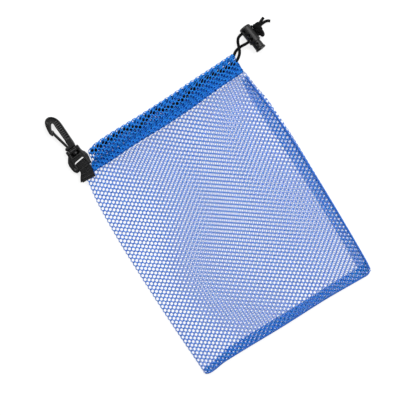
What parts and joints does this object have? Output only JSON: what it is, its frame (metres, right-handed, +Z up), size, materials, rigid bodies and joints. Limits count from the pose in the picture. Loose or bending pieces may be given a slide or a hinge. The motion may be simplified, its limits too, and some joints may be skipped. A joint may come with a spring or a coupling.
{
  "type": "mesh dive gear bag",
  "caption": "Flat knitted mesh drawstring pouch with a hem, a drawcord with a barrel cord lock and knot, and a webbing tab with a swivel snap hook.",
  "frame": {"origin": "middle of the base, on the surface that the bag lies on, measured without the loose cord and the cord lock, knot and tails on it", "axes": "+X across the bag towards the cord lock, +Y from the bottom seam towards the mouth and the snap hook, +Z up from the surface it lies on"},
  "size_m": [0.2489, 0.301, 0.0169],
  "materials": {
    "netting": "knitted polyester net with round holes, soft sheen",
    "hem_cloth": "several layers of the same net, nearly closed",
    "webbing": "woven black polypropylene webbing",
    "black_plastic": "satin black moulded plastic",
    "cord_braid": "black braided cord"
  },
  "bodies": {
    "bag": {"net_body": "netting", "cord_casing": "hem_cloth", "side_seam": "hem_cloth", "bottom_seam": "hem_cloth", "drawcord": "cord_braid", "cord_strand_a": "cord_braid", "cord_strand_b": "cord_braid", "cord_knot": "cord_braid", "webbing_tab": "webbing", "cord_lock_barrel": "black_plastic"},
    "eye": {"swivel_eye": "black_plastic"},
    "hook": {"snap_hook": "black_plastic"},
    "gate": {"hook_gate": "black_plastic"},
    "plunger": {"cord_lock_plunger": "black_plastic"}
  },
  "joints": [
    {"name": "eye_pivot", "type": "hinge", "parent": "bag", "child": "eye", "pos_m": [-0.09039, 0.09128, 0.0035], "axis": [0.9962, 0.0872, 0], "range_deg": [-90, 110]},
    {"name": "hook_swivel", "type": "hinge", "parent": "eye", "child": "hook", "pos_m": [-0.09196, 0.10921, 0.0035], "axis": [-0.0872, 0.9962, 0], "continuous": true},
    {"name": "gate_hinge", "type": "hinge", "parent": "hook", "child": "gate", "pos_m": [-0.09528, 0.11615, 0.0035], "axis": [0, 0, -1], "range_deg": [0, 10], "stiffness_Nm_per_rad": 0.01, "springref_deg": -5.73},
    {"name": "plunger_slide", "type": "slide", "parent": "bag", "child": "plunger", "axis": [-0.124, 0.9923, 0], "range_m": [0, 0.004], "stiffness_N_per_m": 120, "springref_m": -0.001}
  ]
}
